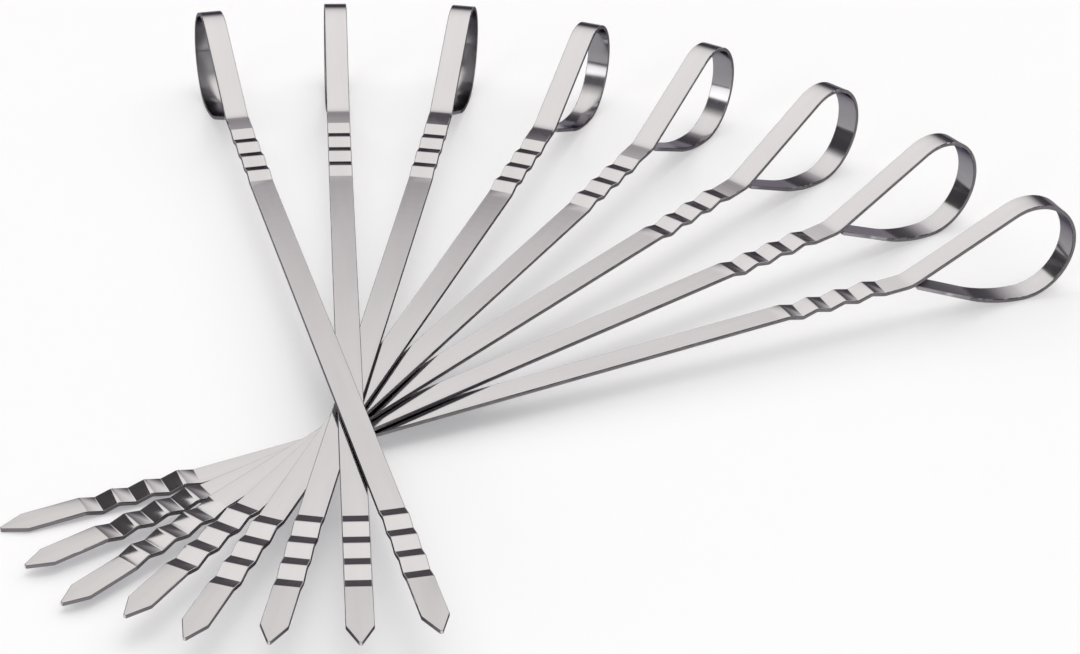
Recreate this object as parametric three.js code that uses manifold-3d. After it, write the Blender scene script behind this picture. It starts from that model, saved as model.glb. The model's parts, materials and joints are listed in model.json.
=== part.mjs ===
// Eight flat kebab skewers laid out as a fan, each resting on the one below where they cross.
// Each skewer is one bar of stainless strip. It is cut to a point, pressed into waves in two
// zones, and bent round at its far end into a teardrop loop that stands on the table.
// Millimetres, +Z up. Along a skewer, distances run from its point towards its loop.
import * as THREE from "three";
import { mergeVertices } from "three/addons/utils/BufferGeometryUtils.js";
import Module from "manifold-3d";

const wasm = await Module();
wasm.setup();

// Strip
const stripWidth = 9.5;
const stripThickness = 1.6;

// Point: straight flanks from the shoulders to a small round nose
const pointLength = 8.8;
const noseRadius = 0.8;

// Flat stretches
const pointLandLength = 29.7;
const bladeLength = 237.7;
const handleLandLength = 9.5;

// Pressed waves: each zone is a row of flanks that climb and fall in turn
const flanksPerZone = 7;
const waveRise = 1.55;
const waveBendRadius = 4;
const pointFlankLength = 6.17;
const handleFlankLength = 6.07;

// Loop: a neck bend, a straight run up, a wide turn, and a tail that bows back to the neck.
// With a tailBowShare of 0 the tail would be straight, and with 1 it would be one even arc.
const neckBendRadius = 12;
const runAngle = THREE.MathUtils.degToRad(22.5);
const runLength = 46.9;
const loopRadius = 21.2;
const turnPastBottom = THREE.MathUtils.degToRad(5);
const tailBowShare = 0.33;
const tailGap = 0.4;

// Fan: where a skewer crosses the others, and the air left between two that touch
const crossingFromPoint = 138;
const restGap = 0.3;

// The fan from the bottom of the pile to its top. The heading is in degrees, and slipShare and
// sideShare say how far a skewer lies off the even layout, as shares of the strip's width.
// landSide and handleSide are 1 where the stretch past the waves is higher than the blade.
const fan = [
  { heading: 26.2, slipShare: -0.79, sideShare: 0, landSide: 1, handleSide: -1 },
  { heading: 38, slipShare: -0.5, sideShare: -0.11, landSide: 1, handleSide: -1 },
  { heading: 49.6, slipShare: -0.19, sideShare: 0.11, landSide: -1, handleSide: -1 },
  { heading: 61.6, slipShare: -0.13, sideShare: 0.01, landSide: 1, handleSide: 1 },
  { heading: 72.3, slipShare: 0.45, sideShare: 0.04, landSide: 1, handleSide: 1 },
  { heading: 83.8, slipShare: 0.35, sideShare: 0.03, landSide: 1, handleSide: 1 },
  { heading: 95.3, slipShare: 0.68, sideShare: -0.12, landSide: 1, handleSide: 1 },
  { heading: 106.1, slipShare: 0.87, sideShare: 0.02, landSide: 1, handleSide: 1 },
];

// Facets
const bendStep = THREE.MathUtils.degToRad(7);
const noseSteps = 6;

// Sizes that follow from the ones above
const halfWidth = stripWidth / 2;
const halfThickness = stripThickness / 2;
const loopMiddleRadius = loopRadius - halfThickness;
const cutOverrun = stripWidth;

const steel = new THREE.MeshStandardMaterial({
  color: 0xc9c6c3,
  roughness: 0.22,
  metalness: 1,
  flatShading: true,
});

// The middle line of the strip, seen from the side: x along the skewer, y up
class StripLine {
  constructor(startHeight) {
    this.place = new THREE.Vector2(0, startHeight);
    this.heading = 0;
    this.stations = [];
    this.mark();
  }

  mark() {
    this.stations.push({ place: this.place.clone(), heading: this.heading });
  }

  advance(distance, direction) {
    this.place.x += distance * Math.cos(direction);
    this.place.y += distance * Math.sin(direction);
  }

  straight(length) {
    this.advance(length, this.heading);
    this.mark();
  }

  bend(radius, turn) {
    const steps = Math.max(1, Math.ceil(Math.abs(turn) / bendStep));
    const stepTurn = turn / steps;
    const chord = 2 * radius * Math.sin(Math.abs(stepTurn) / 2);
    for (let step = 0; step < steps; step += 1) {
      this.advance(chord, this.heading + stepTurn / 2);
      this.heading += stepTurn;
      this.mark();
    }
  }

  // The centre of a turn of this radius to the right of the way the line runs
  centreOfRightTurn(radius) {
    const centre = this.place.clone();
    centre.x += radius * Math.sin(this.heading);
    centre.y -= radius * Math.cos(this.heading);
    return centre;
  }
}

// One flank is a bend, a straight and a bend back: the inner tangent of two equal circles
function flankShape(flankLength) {
  const circleGap = new THREE.Vector2(flankLength, waveRise - 2 * waveBendRadius);
  const straightLength = Math.sqrt(circleGap.lengthSq() - (2 * waveBendRadius) ** 2);
  const slope = Math.atan2(circleGap.y, circleGap.x) + Math.atan2(2 * waveBendRadius, straightLength);
  return { straightLength, slope };
}

function pressWaves(line, firstSide, flankLength) {
  const flank = flankShape(flankLength);
  let side = firstSide;
  for (let count = 0; count < flanksPerZone; count += 1) {
    line.bend(waveBendRadius, side * flank.slope);
    line.straight(flank.straightLength);
    line.bend(waveBendRadius, -side * flank.slope);
    side = -side;
  }
}

// The tail leaves the wide turn in a bow and then runs straight to a point just under the end
// of the neck bend. The corner is where the lines along the two ends of the bow would meet.
function bendLoop(line) {
  line.bend(neckBendRadius, runAngle);
  const tailEnd = line.place.clone();
  tailEnd.y -= stripThickness + tailGap;
  line.straight(runLength);
  const centre = line.centreOfRightTurn(loopMiddleRadius);
  line.bend(loopMiddleRadius, -(runAngle + Math.PI + turnPastBottom));
  const reach = tailEnd.clone().sub(line.place);
  const turnToEnd = Math.PI - turnPastBottom - reach.angle();
  const bowTurn = turnToEnd * (1 + tailBowShare);
  const toCorner = reach.length() * Math.sin(bowTurn - turnToEnd) / Math.sin(bowTurn);
  const cornerToEnd = reach.length() * Math.sin(turnToEnd) / Math.sin(bowTurn);
  line.bend(toCorner / Math.tan(bowTurn / 2), -bowTurn);
  line.straight(cornerToEnd - toCorner);
  return centre;
}

function skewerLine(row) {
  const line = new StripLine(row.landSide * waveRise);
  line.straight(pointLandLength);
  pressWaves(line, -row.landSide, pointFlankLength);
  line.straight(bladeLength);
  pressWaves(line, row.handleSide, handleFlankLength);
  line.straight(handleLandLength);
  const loopCentre = bendLoop(line);
  return { stations: line.stations, loopCentre };
}

function offsetPoint(station, offset) {
  const x = station.place.x - offset * Math.sin(station.heading);
  const y = station.place.y + offset * Math.cos(station.heading);
  return new THREE.Vector2(x, y);
}

// The strip's side outline, pushed out to its width: x along the skewer, y across, z up
function stripGeometry(stations) {
  const top = stations.map((station) => offsetPoint(station, halfThickness));
  const bottom = stations.map((station) => offsetPoint(station, -halfThickness));
  const outline = new THREE.Shape([...bottom, ...top.reverse()]);
  const geometry = new THREE.ExtrudeGeometry(outline, { depth: stripWidth, bevelEnabled: false });
  geometry.translate(0, 0, -halfWidth);
  geometry.rotateX(Math.PI / 2);
  return geometry;
}

// A pointed plan, wider than the strip behind the shoulders, as tall and long as the skewer
function pointedBlankGeometry(stations) {
  const box = new THREE.Box2().setFromPoints(stations.map((station) => station.place));
  box.expandByScalar(cutOverrun);
  const shoulder = new THREE.Vector2(pointLength, halfWidth);
  const nose = new THREE.Vector2(noseRadius, 0);
  const reach = shoulder.clone().sub(nose);
  const flankTouch = reach.angle() + Math.acos(noseRadius / reach.length());
  const outline = new THREE.Shape();
  for (let step = 0; step <= noseSteps; step += 1) {
    const angle = flankTouch + (step / noseSteps) * 2 * (Math.PI - flankTouch);
    const x = nose.x + noseRadius * Math.cos(angle);
    const y = noseRadius * Math.sin(angle);
    if (step === 0) {
      outline.moveTo(x, y);
    } else {
      outline.lineTo(x, y);
    }
  }
  const flankSlope = flankTouch - Math.PI / 2;
  const flareX = shoulder.x + cutOverrun / Math.tan(flankSlope);
  const flareY = shoulder.y + cutOverrun;
  outline.lineTo(flareX, -flareY);
  outline.lineTo(box.max.x, -flareY);
  outline.lineTo(box.max.x, flareY);
  outline.lineTo(flareX, flareY);
  const depth = box.max.y - box.min.y;
  const geometry = new THREE.ExtrudeGeometry(outline, { depth, bevelEnabled: false });
  geometry.translate(0, 0, box.min.y);
  return geometry;
}

function solidOf(geometry) {
  geometry.deleteAttribute("normal");
  geometry.deleteAttribute("uv");
  const merged = mergeVertices(geometry);
  const vertProperties = new Float32Array(merged.attributes.position.array);
  const triVerts = new Uint32Array(merged.index.array);
  return new wasm.Manifold(new wasm.Mesh({ numProp: 3, vertProperties, triVerts }));
}

function geometryOf(solid) {
  const mesh = solid.getMesh();
  const geometry = new THREE.BufferGeometry();
  geometry.setAttribute("position", new THREE.BufferAttribute(mesh.vertProperties, 3));
  geometry.setIndex(new THREE.BufferAttribute(mesh.triVerts, 1));
  geometry.computeVertexNormals();
  return geometry;
}

function skewerGeometry(stations) {
  const strip = solidOf(stripGeometry(stations));
  const blank = solidOf(pointedBlankGeometry(stations));
  return geometryOf(strip.intersect(blank));
}

// The angle p at which along * sin(p) + up * cos(p) comes to the height
function pitchFor(along, up, height) {
  return Math.asin(height / Math.hypot(along, up)) - Math.atan2(up, along);
}

// The lowest skewer stands on the underside of its point and on its loop
function pitchOnTable(skewer) {
  const pointUnderside = skewer.row.landSide * waveRise - halfThickness;
  return pitchFor(skewer.loopCentre.x, skewer.loopCentre.y - pointUnderside, loopRadius);
}

// The four corners of the patch where two skewers cover each other, seen from above, each as
// the distance of the corner from the crossing along the lower and along the upper skewer
function patchCorners(lower, upper) {
  const corners = [];
  for (const lowerEdge of [-halfWidth, halfWidth]) {
    for (const upperEdge of [-halfWidth, halfWidth]) {
      const lowerStart = lower.across.clone().multiplyScalar(lower.sideShift + lowerEdge);
      const upperStart = upper.across.clone().multiplyScalar(upper.sideShift + upperEdge);
      const between = upperStart.sub(lowerStart);
      const spread = lower.along.cross(upper.along);
      const alongLower = between.cross(upper.along) / spread;
      const alongUpper = between.cross(lower.along) / spread;
      corners.push({ alongLower, alongUpper });
    }
  }
  return corners;
}

// An upper skewer stands on its loop and lies on the corner of the patch that lifts it most
function pitchOnPile(lower, upper) {
  const pitches = patchCorners(lower, upper).map((corner) => {
    const lowerDistance = lower.crossing * Math.cos(lower.pitch) + corner.alongLower;
    const lowerTop = lower.height + lowerDistance * Math.tan(lower.pitch) + halfThickness;
    const along = upper.loopCentre.x - upper.crossing - corner.alongUpper;
    const up = upper.loopCentre.y + halfThickness;
    return pitchFor(along, up, loopRadius - lowerTop - restGap);
  });
  return Math.min(...pitches);
}

function layDown(skewer, pitch) {
  skewer.pitch = pitch;
  const loopRise = skewer.loopCentre.x * Math.sin(pitch) + skewer.loopCentre.y * Math.cos(pitch);
  skewer.height = loopRadius - loopRise;
}

function describeSkewer(row) {
  const heading = THREE.MathUtils.degToRad(row.heading);
  return {
    row,
    heading,
    along: new THREE.Vector2(Math.cos(heading), Math.sin(heading)),
    across: new THREE.Vector2(-Math.sin(heading), Math.cos(heading)),
    crossing: crossingFromPoint + row.slipShare * stripWidth,
    sideShift: row.sideShare * stripWidth,
    ...skewerLine(row),
  };
}

function skewerMesh(skewer, name) {
  const mesh = new THREE.Mesh(skewerGeometry(skewer.stations), steel);
  const back = -skewer.crossing * Math.cos(skewer.pitch);
  const x = skewer.across.x * skewer.sideShift + skewer.along.x * back;
  const y = skewer.across.y * skewer.sideShift + skewer.along.y * back;
  mesh.name = name;
  mesh.position.set(x, y, skewer.height);
  mesh.rotation.set(0, -skewer.pitch, skewer.heading, "ZYX");
  return mesh;
}

const skewers = fan.map(describeSkewer);
const skewerSet = new THREE.Group();
skewers.forEach((skewer, index) => {
  const pitch = index === 0 ? pitchOnTable(skewer) : pitchOnPile(skewers[index - 1], skewer);
  layDown(skewer, pitch);
  skewerSet.add(skewerMesh(skewer, `skewer_${index + 1}`));
});

// The origin is the middle of the set's box, on the table
const box = new THREE.Box3().setFromObject(skewerSet, true);
const middle = box.getCenter(new THREE.Vector3());
skewerSet.position.set(-middle.x, -middle.y, 0);
skewerSet.updateMatrixWorld(true);

export default skewerSet;
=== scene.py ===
import json
import math

import bmesh
import bpy
from mathutils import Matrix, Vector


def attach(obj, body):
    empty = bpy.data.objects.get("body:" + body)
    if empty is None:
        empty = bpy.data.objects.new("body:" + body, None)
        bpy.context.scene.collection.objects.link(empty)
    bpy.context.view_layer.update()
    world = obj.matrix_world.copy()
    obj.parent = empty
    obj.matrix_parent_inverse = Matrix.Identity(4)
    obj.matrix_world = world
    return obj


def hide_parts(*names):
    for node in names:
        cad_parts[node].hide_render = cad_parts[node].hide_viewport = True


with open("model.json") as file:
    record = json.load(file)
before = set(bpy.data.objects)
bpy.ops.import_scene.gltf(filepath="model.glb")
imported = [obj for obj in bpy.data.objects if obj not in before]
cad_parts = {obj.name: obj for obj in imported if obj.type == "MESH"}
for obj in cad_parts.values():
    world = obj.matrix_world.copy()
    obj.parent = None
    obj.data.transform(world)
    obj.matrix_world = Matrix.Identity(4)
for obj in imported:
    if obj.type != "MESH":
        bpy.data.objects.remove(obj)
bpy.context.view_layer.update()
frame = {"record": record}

# Camera: it stands in front of the points and looks down along the fan with a long lens,
# turned a little about its own line of sight.
camera_place = Vector((-0.01253, -1.03698, 0.65752))
camera_down = math.radians(32.0625)
camera_roll = math.radians(2.049)
camera_lens_mm = 106.53
camera_film_mm = 36
nearest_seen = 0.01
farthest_seen = 50

camera_data = bpy.data.cameras.new("camera")
camera_data.lens = camera_lens_mm
camera_data.sensor_width = camera_film_mm
camera_data.clip_start = nearest_seen
camera_data.clip_end = farthest_seen
camera =bpy.data.objects.new("camera", camera_data)
camera_turn = Matrix.Rotation(math.radians(90) - camera_down, 4, "X")
camera_turn = camera_turn @ Matrix.Rotation(camera_roll, 4, "Z")
camera.matrix_world = Matrix.Translation(camera_place) @ camera_turn
bpy.context.scene.collection.objects.link(camera)
bpy.context.scene.camera = camera

# Table: a wide matt surface that the loops and the lowest point stand on. It is white under
# the fan and greys further out, where the light on it falls off.
table_radius = 4.0
table_sides = 96
white_middle = (0.0, 0.06, 0.0)
white_radius = 0.36
grey_radius = 0.95
table_white = (0.93, 0.93, 0.93, 1)
table_grey = (0.33, 0.33, 0.34, 1)

table_bm = bmesh.new()
bmesh.ops.create_circle(table_bm, cap_ends=True, segments=table_sides, radius=table_radius)
table_mesh = bpy.data.meshes.new("table")
table_bm.to_mesh(table_mesh)
table_bm.free()
table = bpy.data.objects.new("table", table_mesh)
bpy.context.scene.collection.objects.link(table)
table_finish = bpy.data.materials.new("matt_white_table")
table_finish.use_nodes = True
table_nodes = table_finish.node_tree.nodes
table_links = table_finish.node_tree.links
table_shader = table_nodes["Principled BSDF"]
table_shader.inputs["Roughness"].default_value = 1
table_shader.inputs["Specular IOR Level"].default_value = 0
table_place = table_nodes.new("ShaderNodeTexCoord")
from_middle = table_nodes.new("ShaderNodeVectorMath")
from_middle.operation = "DISTANCE"
from_middle.inputs[1].default_value = white_middle
fall_off = table_nodes.new("ShaderNodeMapRange")
fall_off.interpolation_type = "SMOOTHSTEP"
fall_off.inputs["From Min"].default_value = white_radius
fall_off.inputs["From Max"].default_value = grey_radius
table_colour = table_nodes.new("ShaderNodeMix")
table_colour.data_type = "RGBA"
table_colour.inputs["A"].default_value = table_white
table_colour.inputs["B"].default_value = table_grey
table_links.new(table_place.outputs["Object"], from_middle.inputs[0])
table_links.new(from_middle.outputs["Value"], fall_off.inputs["Value"])
table_links.new(fall_off.outputs["Result"], table_colour.inputs["Factor"])
table_links.new(table_colour.outputs["Result"], table_shader.inputs["Base Color"])
table_mesh.materials.append(table_finish)

# Room: one large bright panel over the far side of the table, which ends above a dark band.
# The side that the camera stands on is darker, with one small window low on its left and
# a wide dim one on its right.
panel_towards = (0, 1, 0.45)
panel_begins = 0.26
panel_full_from = 0.58

world =bpy.data.worlds.new("room")
bpy.context.scene.world = world
world.use_nodes = True
room = world.node_tree
background = room.nodes["Background"]
direction = room.nodes.new("ShaderNodeTexCoord")
parts = room.nodes.new("ShaderNodeSeparateXYZ")
room.links.new(direction.outputs["Generated"], parts.inputs["Vector"])
far_side = [
    (0.24, (0.14, 0.13, 0.145)),
    (0.31, (0.39, 0.375, 0.39)),
    (0.38, (0.69, 0.67, 0.68)),
    (0.44, (0.93, 0.91, 0.91)),
    (0.56, (1.08, 1.06, 1.06)),
    (0.72, (1.12, 1.10, 1.09)),
    (0.87, (1.13, 1.11, 1.10)),
]
near_side = [
    (0.30, (0.115, 0.105, 0.135)),
    (0.80, (0.14, 0.135, 0.145)),
    (0.98, (1.0, 0.98, 0.96)),
]
sides = []
for stops in (far_side, near_side):
    ramp = room.nodes.new("ShaderNodeValToRGB")
    while len(ramp.color_ramp.elements) < len(stops):
        ramp.color_ramp.elements.new(1.0)
    for element, (share, colour) in zip(ramp.color_ramp.elements, stops):
        element.position = share
        element.color = (*colour, 1)
    room.links.new(parts.outputs["Z"], ramp.inputs["Fac"])
    sides.append(ramp)
panel_edge = room.nodes.new("ShaderNodeMapRange")
panel_edge.interpolation_type = "SMOOTHSTEP"
panel_edge.inputs["From Min"].default_value = panel_begins
panel_edge.inputs["From Max"].default_value = panel_full_from
to_panel = room.nodes.new("ShaderNodeVectorMath")
to_panel.operation = "DOT_PRODUCT"
to_panel.inputs[1].default_value = panel_towards
room.links.new(direction.outputs["Generated"], to_panel.inputs[0])
room.links.new(to_panel.outputs["Value"], panel_edge.inputs["Value"])
both_sides = room.nodes.new("ShaderNodeMix")
both_sides.data_type = "RGBA"
room.links.new(panel_edge.outputs["Result"], both_sides.inputs["Factor"])
room.links.new(sides[1].outputs["Color"], both_sides.inputs["A"])
room.links.new(sides[0].outputs["Color"], both_sides.inputs["B"])

windows = [
    (Vector((-0.68, -0.66, 0.3)), 14, 19, 2.2),
    (Vector((0.45, -0.85, 0.25)), 26, 55, 0.5),
]
surroundings = both_sides.outputs["Result"]
for towards, full_within, gone_past, strength in windows:
    to_window = room.nodes.new("ShaderNodeVectorMath")
    to_window.operation = "DOT_PRODUCT"
    to_window.inputs[1].default_value = towards.normalized()
    room.links.new(direction.outputs["Generated"], to_window.inputs[0])
    in_window = room.nodes.new("ShaderNodeMapRange")
    in_window.interpolation_type = "SMOOTHSTEP"
    in_window.inputs["From Min"].default_value = math.cos(math.radians(gone_past))
    in_window.inputs["From Max"].default_value = math.cos(math.radians(full_within))
    room.links.new(to_window.outputs["Value"], in_window.inputs["Value"])
    with_window = room.nodes.new("ShaderNodeMix")
    with_window.data_type = "RGBA"
    with_window.inputs["B"].default_value = (strength, strength, strength, 1)
    room.links.new(in_window.outputs["Result"], with_window.inputs["Factor"])
    room.links.new(surroundings, with_window.inputs["A"])
    surroundings = with_window.outputs["Result"]
room.links.new(surroundings, background.inputs["Color"])

# Flag: a black card that stands to the left of the points. Only the steel sees it, as the dark
# bands on the waves and the bends that face that way.
flag_middle = (-0.45, 0.4, 0.275)
flag_length = 1.0
flag_height = 0.55
flag_black = (0.1, 0.095, 0.1, 1)

flag_bm = bmesh.new()
flag_corners = bmesh.ops.create_grid(flag_bm, x_segments=1, y_segments=1, size=0.5)["verts"]
flag_lay = Matrix.Translation(flag_middle) @ Matrix.Diagonal((1, flag_length, flag_height, 1))
flag_lay = flag_lay @ Matrix.Rotation(math.radians(90), 4, "Y")
bmesh.ops.transform(flag_bm, matrix=flag_lay, verts=flag_corners)
flag_mesh = bpy.data.meshes.new("flag")
flag_bm.to_mesh(flag_mesh)
flag_bm.free()
flag = bpy.data.objects.new("flag", flag_mesh)
bpy.context.scene.collection.objects.link(flag)
black_card = bpy.data.materials.new("black_card")
black_card.use_nodes = True
card_shader = black_card.node_tree.nodes["Principled BSDF"]
card_shader.inputs["Base Color"].default_value = flag_black
card_shader.inputs["Roughness"].default_value = 1
flag_mesh.materials.append(black_card)
flag.visible_camera = False
flag.visible_diffuse = False
flag.visible_shadow = False

# Lamps: one soft overhead lamp that makes the shadows, and a fill without shadows that evens
# out the table. The steel mirrors neither of them.
lamps = [("overhead", 0.22, True), ("fill", 0.9, False)]
lamp_softness = math.radians(24)
lamp_towards = Vector((0.08, 0.12, 1))

for name, energy, casts_shadow in lamps:
    lamp_data = bpy.data.lights.new(name, "SUN")
    lamp_data.angle = lamp_softness
    lamp_data.energy = energy
    lamp_data.use_shadow = casts_shadow
    lamp = bpy.data.objects.new(name, lamp_data)
    lamp.rotation_euler = lamp_towards.to_track_quat("Z", "Y").to_euler()
    lamp.visible_glossy = False
    bpy.context.scene.collection.objects.link(lamp)

# Steel: stainless strip. Its outer face is polished along its length and keeps fine lines
# from the belt, its inner face is left as rolled, and its sheared edges are dullest.
strip_map = "strip"
sag_map = "sag"
line_width = 0.00012
line_length = 0.02
line_detail = 3
patch_width = 0.006
patch_length = 0.05
patch_detail = 4
darkest_patch = 0.93
lightest_patch = 1.07
smooth_line_from = 0.3
rough_line_from = 0.7
smoothest = 0.75
roughest = 1.3
# Painted shade: the grazing tint darkens what the steel mirrors at glancing angles, standing in for
# darker surroundings in its reflections.
painted_grazing_shade = (0.2, 0.185, 0.225, 1)


def strip_steel(name, colours, change_places, roughness, line_depth, sags=False):
    """Steel with fine lines along the strip, whose colour changes once on the way from the point."""
    material = bpy.data.materials.new(name)
    material.use_nodes = True
    nodes = material.node_tree.nodes
    links = material.node_tree.links
    shader = nodes["Principled BSDF"]
    shader.inputs["Metallic"].default_value = 1
    shader.inputs["Specular Tint"].default_value = painted_grazing_shade
    strip_place = nodes.new("ShaderNodeUVMap")
    strip_place.uv_map = strip_map
    marks = (line_length, line_width, line_detail), (patch_length, patch_width, patch_detail)
    noises = []
    for length, width, detail in marks:
        stretch = nodes.new("ShaderNodeMapping")
        stretch.inputs["Scale"].default_value = (1 / length, 1 / width, 1)
        links.new(strip_place.outputs["UV"], stretch.inputs["Vector"])
        noise = nodes.new("ShaderNodeTexNoise")
        noise.inputs["Scale"].default_value = 1
        noise.inputs["Detail"].default_value = detail
        links.new(stretch.outputs["Vector"], noise.inputs["Vector"])
        noises.append(noise)
    lines, patches = noises

    along_strip = nodes.new("ShaderNodeSeparateXYZ")
    links.new(strip_place.outputs["UV"], along_strip.inputs["Vector"])
    change = nodes.new("ShaderNodeMapRange")
    change.interpolation_type = "SMOOTHSTEP"
    change.inputs["From Min"].default_value = change_places[0]
    change.inputs["From Max"].default_value = change_places[1]
    links.new(along_strip.outputs["X"], change.inputs["Value"])
    tone = nodes.new("ShaderNodeMix")
    tone.data_type = "RGBA"
    tone.inputs["A"].default_value = (*colours[0], 1)
    tone.inputs["B"].default_value = (*colours[1], 1)
    links.new(change.outputs["Result"], tone.inputs["Factor"])
    patchiness = nodes.new("ShaderNodeMapRange")
    patchiness.inputs["To Min"].default_value = darkest_patch
    patchiness.inputs["To Max"].default_value = lightest_patch
    links.new(patches.outputs["Fac"], patchiness.inputs["Value"])
    patchy_tone = nodes.new("ShaderNodeVectorMath")
    patchy_tone.operation = "SCALE"
    links.new(tone.outputs["Result"], patchy_tone.inputs["Vector"])
    links.new(patchiness.outputs["Result"], patchy_tone.inputs["Scale"])
    links.new(patchy_tone.outputs["Vector"], shader.inputs["Base Color"])

    shine = nodes.new("ShaderNodeMapRange")
    shine.inputs["From Min"].default_value = smooth_line_from
    shine.inputs["From Max"].default_value = rough_line_from
    shine.inputs["To Min"].default_value = roughness * smoothest
    shine.inputs["To Max"].default_value = roughness * roughest
    links.new(lines.outputs["Fac"], shine.inputs["Value"])
    links.new(shine.outputs["Result"], shader.inputs["Roughness"])

    scratched = nodes.new("ShaderNodeBump")
    scratched.inputs["Distance"].default_value = line_depth
    links.new(lines.outputs["Fac"], scratched.inputs["Height"])
    links.new(scratched.outputs["Normal"], shader.inputs["Normal"])
    if sags:
        sag = nodes.new("ShaderNodeUVMap")
        sag.uv_map = sag_map
        sag_height = nodes.new("ShaderNodeSeparateXYZ")
        links.new(sag.outputs["UV"], sag_height.inputs["Vector"])
        dipped = nodes.new("ShaderNodeBump")
        dipped.inputs["Distance"].default_value = 1
        links.new(sag_height.outputs["X"], dipped.inputs["Height"])
        links.new(dipped.outputs["Normal"], scratched.inputs["Normal"])
    return material


# Each has one colour up to a place along the bar and a lighter one past it: the polish is
# greyer on the point's land, which is painted shade for a darker reflection there, the edge
# is darker as far as the waves go, and the rolled face grows lighter at the bottom of the loop;
# its dark colour before that is painted shade for a darker reflection inside the turn.
polish_and_painted_land_shade = (0.585, 0.57, 0.565), (0.645, 0.63, 0.63)
painted_land_shade_fade = 0.028, 0.034
polished_roughness = 0.11
# Painted shade: the rolled face's dark first colour stands in for a darker reflection inside the turn.
rolled_and_painted_turn_shade = (0.29, 0.28, 0.30), (0.62, 0.605, 0.61)
painted_turn_shade_fade = 0.456, 0.476
rolled_roughness = 0.14
face_line_depth = 0.0000007
edge_colours = (0.22, 0.205, 0.22), (0.36, 0.345, 0.36)
edge_change = 0.07, 0.1
edge_roughness = 0.34
edge_line_depth = 0.000002

polished_face_with_painted_shade = strip_steel(
    "polished_strip_with_painted_shade", polish_and_painted_land_shade, painted_land_shade_fade, polished_roughness, face_line_depth, sags=True
)
rolled_face_with_painted_shade = strip_steel(
    "rolled_strip_with_painted_shade", rolled_and_painted_turn_shade, painted_turn_shade_fade, rolled_roughness, face_line_depth
)
sheared_edge = strip_steel(
    "sheared_edge", edge_colours, edge_change, edge_roughness, edge_line_depth
)

# Skewer strip: one bar of flat steel, cut to a point, pressed into waves near each end and
# bent round into the loop. Along the bar, x runs from the point, and z is up.
strip_width = 0.0095
strip_thickness = 0.0016
point_length = 0.0088
nose_radius = 0.0008
point_land = 0.0297
blade_length = 0.2377
handle_land = 0.0095
flanks_per_zone = 7
wave_rise = 0.00155
wave_radius = 0.002
point_flank = 0.00617
handle_flank = 0.00607
neck_radius = 0.012
run_angle = math.radians(22.5)
run_length = 0.0469
loop_radius = 0.0212 - strip_thickness / 2
turn_past_bottom = math.radians(5)
tail_bow_share = 0.33
tail_gap = 0.0004
arris = 0.00032
arris_cuts = 3
arris_angle = math.radians(60)
wave_step = math.radians(2.2)
loop_step = math.radians(1.5)
nose_cuts = 5
cut_tolerance = 1e-7

# Hand bending leaves each bar a little off its drawn line: waves a little flatter or steeper,
# a blade that dips towards the handle, and a handle land that dips before the neck. It shows
# in the shading alone, and the bar's own shape stays as it is drawn.
even_blade = 0.115
bow_steps = 24
land_steps = 4
land_dip_at_waves = 0.8
land_dip_at_neck = 1.1
run_start = 0.008
run_start_steps = 6


class Strip:
    """A bar that grows from its square-cut end, one straight or bend at a time."""

    def __init__(self, start_height, flattening):
        self.bm = bmesh.new()
        self.along = self.bm.verts.layers.float.new("along")
        self.depth = self.bm.verts.layers.float.new("depth")
        self.sag = self.bm.verts.layers.float.new("sag")
        self.place = Vector((0, 0, start_height))
        self.slope = 0.0
        self.travelled = 0.0
        self.dip = 0.0
        self.dip_slope = 0.0
        self.flattening = flattening
        made = bmesh.ops.create_grid(self.bm, x_segments=1, y_segments=1, size=0.5)
        upright = Matrix.Rotation(math.radians(90), 4, "Y")
        section = Matrix.Diagonal((1, strip_width, strip_thickness, 1)) @ upright
        bmesh.ops.transform(self.bm, matrix=Matrix.Translation(self.place) @ section, verts=made["verts"])
        for corner in made["verts"]:
            corner[self.depth] = strip_thickness if corner.co.z < start_height else 0.0
            corner[self.sag] = -self.flattening * start_height
        self.end = made["verts"][0].link_faces[:]

    def tip_direction(self):
        return Vector((math.cos(self.slope), 0, math.sin(self.slope)))

    def up_direction(self):
        return Vector((-math.sin(self.slope), 0, math.cos(self.slope)))

    def take(self, geometry, distance):
        """The new end is kept, and its corners know how far along they are and how far they sag."""
        self.travelled += distance
        self.end = [part for part in geometry if isinstance(part, bmesh.types.BMFace)]
        for part in geometry:
            if isinstance(part, bmesh.types.BMVert):
                part[self.along] = self.travelled
                part[self.sag] = self.dip - self.flattening * self.place.z

    def turn_dip(self, slope, distance):
        """The dip's slope changes evenly over the next distance."""
        self.dip += (self.dip_slope + slope) / 2 * distance
        self.dip_slope = slope

    def straight(self, length, steps=1, dip_slope=None):
        start_slope = self.dip_slope
        end_slope = start_slope if dip_slope is None else dip_slope
        for step in range(steps):
            grown = bmesh.ops.extrude_face_region(self.bm, geom=self.end)["geom"]
            corners = [part for part in grown if isinstance(part, bmesh.types.BMVert)]
            advance = self.tip_direction() * length / steps
            bmesh.ops.translate(self.bm, vec=advance, verts=corners)
            self.place += advance
            share = (step + 1) / steps
            self.turn_dip(start_slope + (end_slope - start_slope) * share, length / steps)
            self.take(grown, length / steps)

    def bend(self, radius, turn, step_limit):
        side = math.copysign(1, turn)
        centre = self.place + self.up_direction() * radius * side
        steps = max(1, math.ceil(abs(turn) / step_limit))
        for _ in range(steps):
            grown = bmesh.ops.spin(
                self.bm,
                geom=self.end,
                cent=centre,
                axis=(0, 1, 0),
                angle=-turn / steps,
                steps=1,
            )["geom_last"]
            self.slope += turn / steps
            self.place = centre - self.up_direction() * radius * side
            distance = radius * abs(turn) / steps
            self.turn_dip(self.dip_slope, distance)
            self.take(grown, distance)


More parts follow.
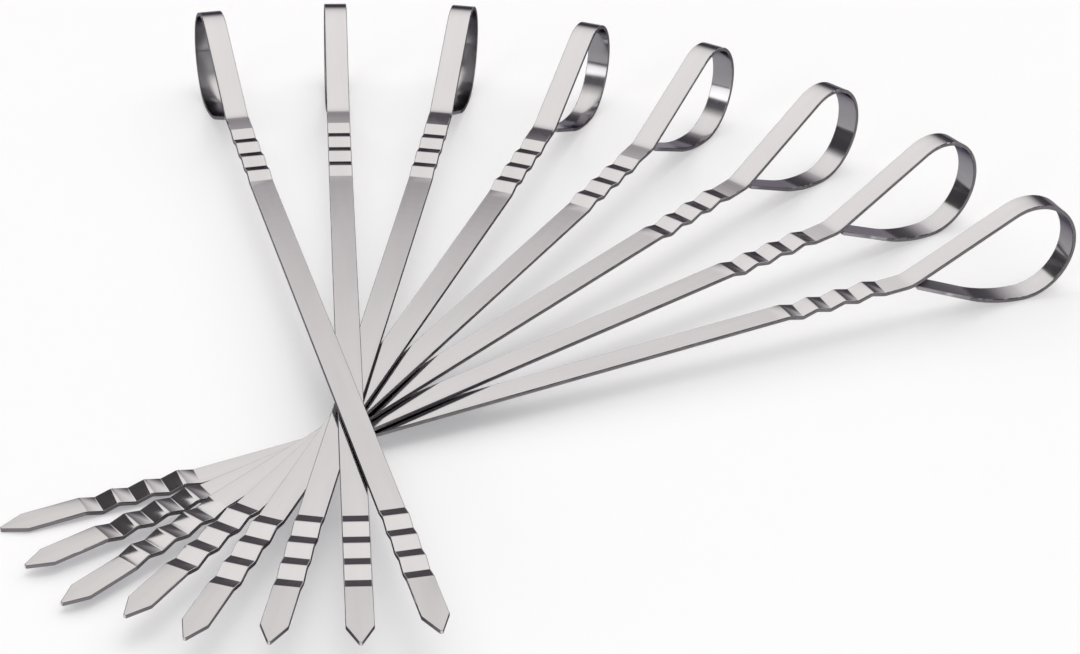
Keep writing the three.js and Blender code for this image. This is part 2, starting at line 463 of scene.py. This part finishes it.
def press_waves(strip, first_side, flank_length):
    """One zone of waves: sloping flanks up and down in turn, each between two small bends."""
    rise_to_centres = wave_rise - 2 * wave_radius
    between = math.hypot(flank_length, rise_to_centres)
    straight = math.sqrt(between**2 - (2 * wave_radius) ** 2)
    slope = math.atan2(rise_to_centres, flank_length) + math.atan2(2 * wave_radius, straight)
    side = first_side
    for _ in range(flanks_per_zone):
        strip.bend(wave_radius, side * slope, wave_step)
        strip.straight(straight)
        strip.bend(wave_radius, -side * slope, wave_step)
        side = -side


def bend_loop(strip):
    """Bends the neck, the run, the wide turn and the tail, and gives the middle of the run's face."""
    strip.bend(neck_radius, run_angle, loop_step)
    tail_end = strip.place - Vector((0, 0, strip_thickness + tail_gap))
    run_face = strip.place + strip.tip_direction() * run_length / 2
    run_face += strip.up_direction() * strip_thickness / 2
    strip.straight(run_start, run_start_steps, dip_slope=0.0)
    strip.straight(run_length - run_start)
    strip.bend(loop_radius, -(run_angle + math.pi + turn_past_bottom), loop_step)
    reach = tail_end - strip.place
    turn_to_end = math.pi - turn_past_bottom - math.atan2(reach.z, reach.x)
    bow_turn = turn_to_end * (1 + tail_bow_share)
    to_corner = reach.length * math.sin(bow_turn - turn_to_end) / math.sin(bow_turn)
    corner_to_end = reach.length * math.sin(turn_to_end) / math.sin(bow_turn)
    strip.bend(to_corner / math.tan(bow_turn / 2), -bow_turn, loop_step)
    strip.straight(corner_to_end - to_corner)
    return run_face


def cut_off(bm, corner, outward):
    """Cuts away what lies past a plane, and closes the cut with a face."""
    everything = bm.verts[:] + bm.edges[:] + bm.faces[:]
    cut = bmesh.ops.bisect_plane(
        bm, geom=everything, dist=cut_tolerance, plane_co=corner, plane_no=outward, clear_outer=True
    )
    rim = [part for part in cut["geom_cut"] if isinstance(part, bmesh.types.BMEdge)]
    bmesh.ops.edgeloop_fill(bm, edges=rim)


def cut_point(bm):
    """Two straight flanks from the shoulders, and short cuts that round the nose."""
    reach = Vector((point_length - nose_radius, strip_width / 2))
    flank_slope = math.atan2(reach.y, reach.x) - math.asin(nose_radius / reach.length)
    for side in (-1, 1):
        outward = Vector((-math.sin(flank_slope), side * math.cos(flank_slope), 0))
        cut_off(bm, Vector((point_length, side * strip_width / 2, 0)), outward)
    open_turn = math.radians(90) - flank_slope
    for cut in range(nose_cuts):
        angle = open_turn * (2 * (cut + 1) / (nose_cuts + 1) - 1)
        outward = Vector((-math.cos(angle), math.sin(angle), 0))
        cut_off(bm, Vector((nose_radius, 0, 0)) + outward * nose_radius, outward)


polished_slot = 0
rolled_slot = 1
sheared_slot = 2
faces_sideways = 0.5


def map_strip(bm, along, depth, sag):
    """UV in metres: along the bar and across it, down over its edges, and the sag beside it."""
    layer = bm.loops.layers.uv.new(strip_map)
    sag_layer = bm.loops.layers.uv.new(sag_map)
    for face in bm.faces:
        on_edge = abs(face.normal.y) > faces_sideways
        lower = all(corner[depth] > strip_thickness / 2 for corner in face.verts)
        for loop in face.loops:
            corner = loop.vert
            distance = corner.co.x if corner.co.x < point_land else corner[along]
            across = corner.co.y
            if on_edge:
                across = math.copysign(abs(across) + corner[depth], face.normal.y)
            loop[layer].uv = (distance, across)
            loop[sag_layer].uv = (corner[sag], 0)
        face.material_index = rolled_slot if lower else polished_slot
        if on_edge:
            face.material_index = sheared_slot


def make_skewer(point_side, handle_side, flattenings, dips):
    """One skewer from its point to its tail, and the middle of its run's face."""
    blade_fall, land_fall = [math.tan(math.radians(dip)) for dip in dips]
    strip = Strip(point_side * wave_rise, flattenings[0])
    strip.straight(point_land)
    press_waves(strip, -point_side, point_flank)
    strip.straight(even_blade)
    strip.straight(blade_length - even_blade, bow_steps, dip_slope=-blade_fall)
    strip.dip_slope = 0.0
    strip.flattening = flattenings[1]
    press_waves(strip, handle_side, handle_flank)
    strip.dip -= strip.flattening * strip.place.z
    strip.flattening = 0.0
    strip.dip_slope = -land_dip_at_waves * land_fall
    strip.straight(handle_land, land_steps, dip_slope=-land_dip_at_neck * land_fall)
    run_face = bend_loop(strip)
    bm = strip.bm
    bmesh.ops.recalc_face_normals(bm, faces=bm.faces[:])
    cut_point(bm)
    bmesh.ops.recalc_face_normals(bm, faces=bm.faces[:])
    map_strip(bm, strip.along, strip.depth, strip.sag)
    corners = [edge for edge in bm.edges if edge.calc_face_angle(0) > arris_angle]
    bmesh.ops.bevel(
        bm, geom=corners, offset=arris, offset_type="OFFSET", segments=arris_cuts, profile=0.5,
        affect="EDGES", material=-1, clamp_overlap=True,
    )
    return bm, run_face


# The eight skewers, lowest first: all bent on the same jig. Each row says on which side of the
# blade the point and the handle lie, what share of their height the waves there seem to lose,
# and by how many degrees the blade and the handle's land seem to dip.
skewer_rows = [
    (1, -1, (-0.15, -0.15), (3.3, 1.5)),
    (1, -1, (-0.26, -0.12), (3.3, 5.4)),
    (-1, -1, (-0.2, 0.0), (4.2, 7.4)),
    (1, 1, (-0.12, 0.17), (4.8, 5.3)),
    (1, 1, (0.0, 0.17), (5.0, 8.1)),
    (1, 1, (0.1, 0.17), (4.3, 7.4)),
    (1, 1, (0.17, 0.17), (3.0, 3.7)),
    (1, 1, (0.17, 0.17), (2.8, 3.6)),
]
sharp_angle = math.radians(35)
flat_face_weight = 100

grip_faces = {mount["name"]: mount for mount in frame["record"]["mounts"]}
for number, (point_side, handle_side, flattenings, dips) in enumerate(skewer_rows, start=1):
    skewer_bm, run_face = make_skewer(point_side, handle_side, flattenings, dips)
    grip = grip_faces[f"grip_face_{number}"]
    facing = Vector(grip["axis"])
    lean = math.acos(facing.z) - run_angle
    heading = math.atan2(-facing.y, -facing.x)
    lay = Matrix.Rotation(heading, 4, "Z") @ Matrix.Rotation(-lean, 4, "Y")
    lay = Matrix.Translation(grip["pos_m"]) @ lay @ Matrix.Translation(-run_face)
    bmesh.ops.transform(skewer_bm, matrix=lay, verts=skewer_bm.verts[:])
    mesh = bpy.data.meshes.new(f"steel_skewer_{number}")
    skewer_bm.to_mesh(mesh)
    skewer_bm.free()
    for finish in (polished_face_with_painted_shade, rolled_face_with_painted_shade, sheared_edge):
        mesh.materials.append(finish)
    mesh.shade_smooth()
    mesh.set_sharp_from_angle(angle=sharp_angle)
    skewer = bpy.data.objects.new(f"steel_skewer_{number}", mesh)
    bpy.context.scene.collection.objects.link(skewer)
    weigh = skewer.modifiers.new("flat_faces_stay_flat", "WEIGHTED_NORMAL")
    weigh.keep_sharp = True
    weigh.weight = flat_face_weight
    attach(skewer, f"skewer_{number}")
    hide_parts(f"skewer_{number}")

# Last step: colours are shown as they are written.
bpy.context.scene.view_settings.view_transform = "Standard"
